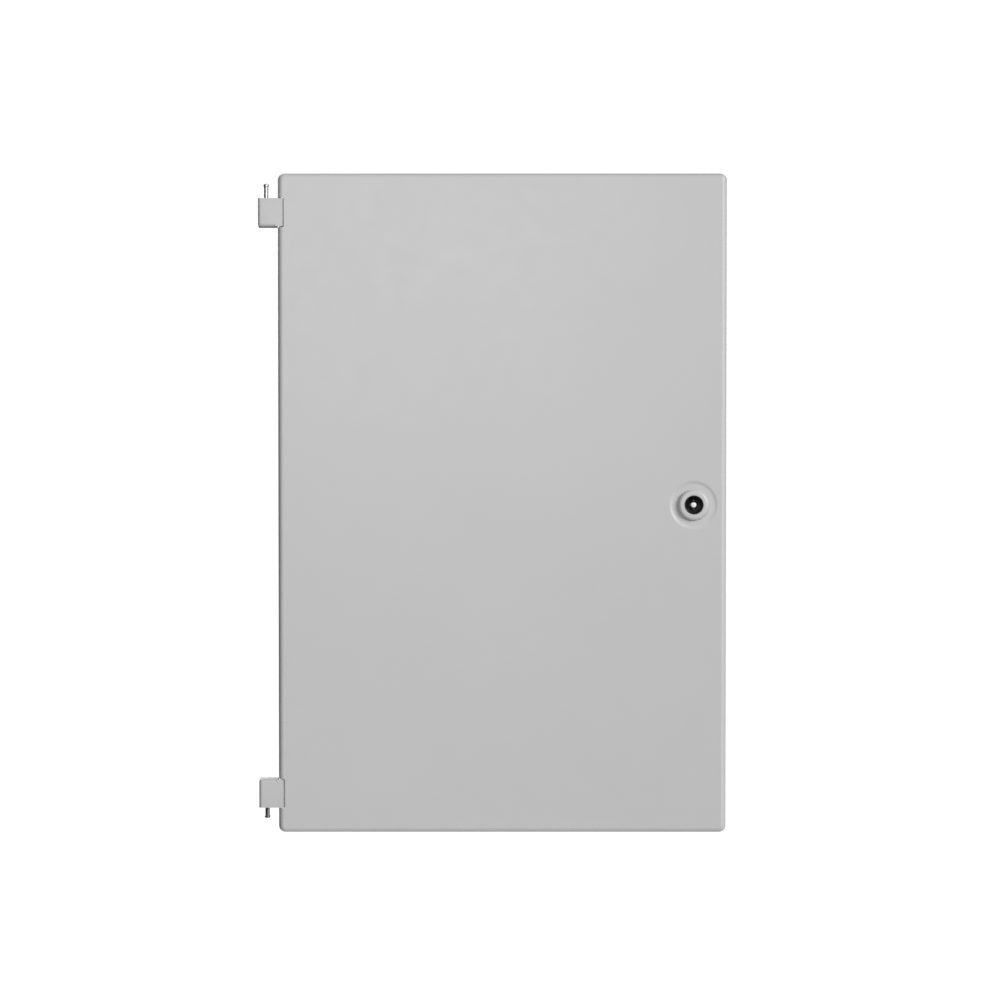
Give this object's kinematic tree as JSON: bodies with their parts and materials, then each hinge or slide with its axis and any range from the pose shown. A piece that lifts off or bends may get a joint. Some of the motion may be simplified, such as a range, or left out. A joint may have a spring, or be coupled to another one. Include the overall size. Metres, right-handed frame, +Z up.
{
  "type": "fire alarm control panel",
  "caption": "Wall-mounted fire alarm control panel: steel back box with a blank hinged, lockable door over its boards, display, power supply and batteries.",
  "frame": {"origin": "on the wall face, at the middle of the four wall fixing holes", "axes": "+X to the right seen from the front, the door faces -Y, +Z up"},
  "size_m": [0.426, 0.1537, 0.6],
  "materials": {
    "door_paint": "fine-textured light grey powder coat",
    "box_paint": "fine-textured light grey powder coat",
    "bracket_paint": "light grey powder coat",
    "lug_paint": "light grey powder coat",
    "stiffener_paint": "light grey powder coat",
    "zinc_fastener": "bright zinc plate",
    "zinc_sheet": "galvanised sheet",
    "plug_plastic": "moulded grey",
    "board_green": "solder-masked laminate",
    "board_blue": "solder-masked laminate",
    "terminal_green": "moulded green",
    "terminal_black": "moulded black",
    "terminal_white": "moulded off-white",
    "relay_blue": "moulded blue",
    "capacitor_sleeve": "shrink sleeve",
    "chip_black": "epoxy package",
    "fuse_metal": "nickel-plated clips and caps",
    "brass_bar": "plain brass",
    "battery_case": "moulded dark grey",
    "tinned_tab": "tinned",
    "lead_red": "red insulation",
    "lead_black": "black insulation",
    "lead_brown": "brown insulation",
    "ribbon_grey": "grey flat cable",
    "display_plastic": "fine-grained dark grey",
    "lcd_metal": "folded tin-plate frame",
    "lcd_window": "liquid-crystal window",
    "led_lens": "clear coloured lens",
    "sounder_black": "moulded black",
    "lock_metal": "nickel plate",
    "key_barrel_metal": "nickel plate",
    "button_amber": "moulded amber",
    "button_white": "moulded white",
    "button_blue": "moulded blue",
    "gasket_foam": "foamed-in polyurethane",
    "pocket_plastic": "moulded light grey",
    "earth_strap": "green and yellow insulation",
    "lock_zinc": "satin grey die-cast zinc",
    "seal_rubber": "moulded rubber",
    "lock_core_metal": "dark phosphated die-cast zinc",
    "cam_steel": "bright zinc plate",
    "pin_steel": "zinc-plated steel rod",
    "spring_steel": "spring wire"
  },
  "bodies": {
    "cabinet": {"back_box": "box_paint", "box_rim": "box_paint", "upper_hinge_bracket": "bracket_paint", "lower_hinge_bracket": "bracket_paint", "hinge_bracket_screws": "zinc_fastener", "gland_plate": "box_paint", "blanking_plugs": "plug_plastic", "chassis_plate": "zinc_sheet", "chassis_fixings": "zinc_fastener", "main_board": "board_green", "board_fixings": "zinc_fastener", "terminal_blocks": "terminal_green", "relays": "relay_blue", "capacitors": "capacitor_sleeve", "chips": "chip_black", "board_fuses": "fuse_metal", "expansion_board": "board_green", "power_supply_case": "zinc_sheet", "power_supply_terminals": "terminal_black", "mains_terminal_block": "terminal_white", "earth_bar": "brass_bar", "battery_left": "battery_case", "battery_right": "battery_case", "battery_terminals": "tinned_tab", "battery_bracket": "zinc_sheet", "battery_lead_red": "lead_red", "battery_lead_black": "lead_black", "battery_link_lead": "lead_black", "supply_leads": "lead_brown", "ribbon_cable": "ribbon_grey", "display_housing": "display_plastic", "display_board": "board_blue", "lcd_frame": "lcd_metal", "lcd_glass": "lcd_window", "indicator_leds": "led_lens", "sounder": "sounder_black", "key_switch_body": "lock_metal"},
    "door": {"door_leaf": "door_paint", "door_gasket": "gasket_foam", "door_stiffeners": "stiffener_paint", "upper_hinge_lug": "lug_paint", "lower_hinge_lug": "lug_paint", "door_stud_nuts": "zinc_fastener", "document_pocket": "pocket_plastic", "door_earth_strap": "earth_strap", "lock_housing": "lock_zinc", "lock_seal": "seal_rubber", "lock_nut": "zinc_fastener", "upper_pin_spring": "spring_steel", "lower_pin_spring": "spring_steel"},
    "lock_core": {"lock_barrel": "lock_core_metal", "lock_cam": "cam_steel", "cam_screw": "zinc_fastener"},
    "upper_pin": {"upper_hinge_pin": "pin_steel"},
    "lower_pin": {"lower_hinge_pin": "pin_steel"},
    "key_barrel": {"key_switch_barrel": "key_barrel_metal"},
    "silence_button": {"button_silence": "button_amber"},
    "acknowledge_button": {"button_acknowledge": "button_white"},
    "reset_button": {"button_reset": "button_blue"},
    "test_button": {"button_test": "button_white"}
  },
  "joints": [
    {"name": "door_swing", "type": "hinge", "parent": "cabinet", "child": "door", "pos_m": [-0.215, -0.14, 0], "axis": [0, 0, -1], "range_deg": [0, 120], "deforming": ["door_earth_strap"]},
    {"name": "lock_turn", "type": "hinge", "parent": "door", "child": "lock_core", "pos_m": [0.174, -0.14, -0.001], "axis": [0, -1, 0], "range_deg": [0, 90]},
    {"name": "upper_pin_pull", "type": "slide", "parent": "door", "child": "upper_pin", "axis": [0, 0, 1], "range_m": [0, 0.0092], "stiffness_N_per_m": 450, "springref_m": -0.006, "deforming": ["upper_pin_spring"]},
    {"name": "lower_pin_pull", "type": "slide", "parent": "door", "child": "lower_pin", "axis": [0, 0, -1], "range_m": [0, 0.0092], "stiffness_N_per_m": 450, "springref_m": -0.006, "deforming": ["lower_pin_spring"]},
    {"name": "key_switch_turn", "type": "hinge", "parent": "cabinet", "child": "key_barrel", "pos_m": [0.044, -0.108, 0.122], "axis": [0, 1, 0], "range_deg": [0, 90]},
    {"name": "silence_press", "type": "slide", "parent": "cabinet", "child": "silence_button", "axis": [0, 1, 0], "range_m": [0, 0.0015], "stiffness_N_per_m": 400, "springref_m": -0.002},
    {"name": "acknowledge_press", "type": "slide", "parent": "cabinet", "child": "acknowledge_button", "axis": [0, 1, 0], "range_m": [0, 0.0015], "stiffness_N_per_m": 400, "springref_m": -0.002},
    {"name": "reset_press", "type": "slide", "parent": "cabinet", "child": "reset_button", "axis": [0, 1, 0], "range_m": [0, 0.0015], "stiffness_N_per_m": 400, "springref_m": -0.002},
    {"name": "test_press", "type": "slide", "parent": "cabinet", "child": "test_button", "axis": [0, 1, 0], "range_m": [0, 0.0015], "stiffness_N_per_m": 400, "springref_m": -0.002}
  ]
}
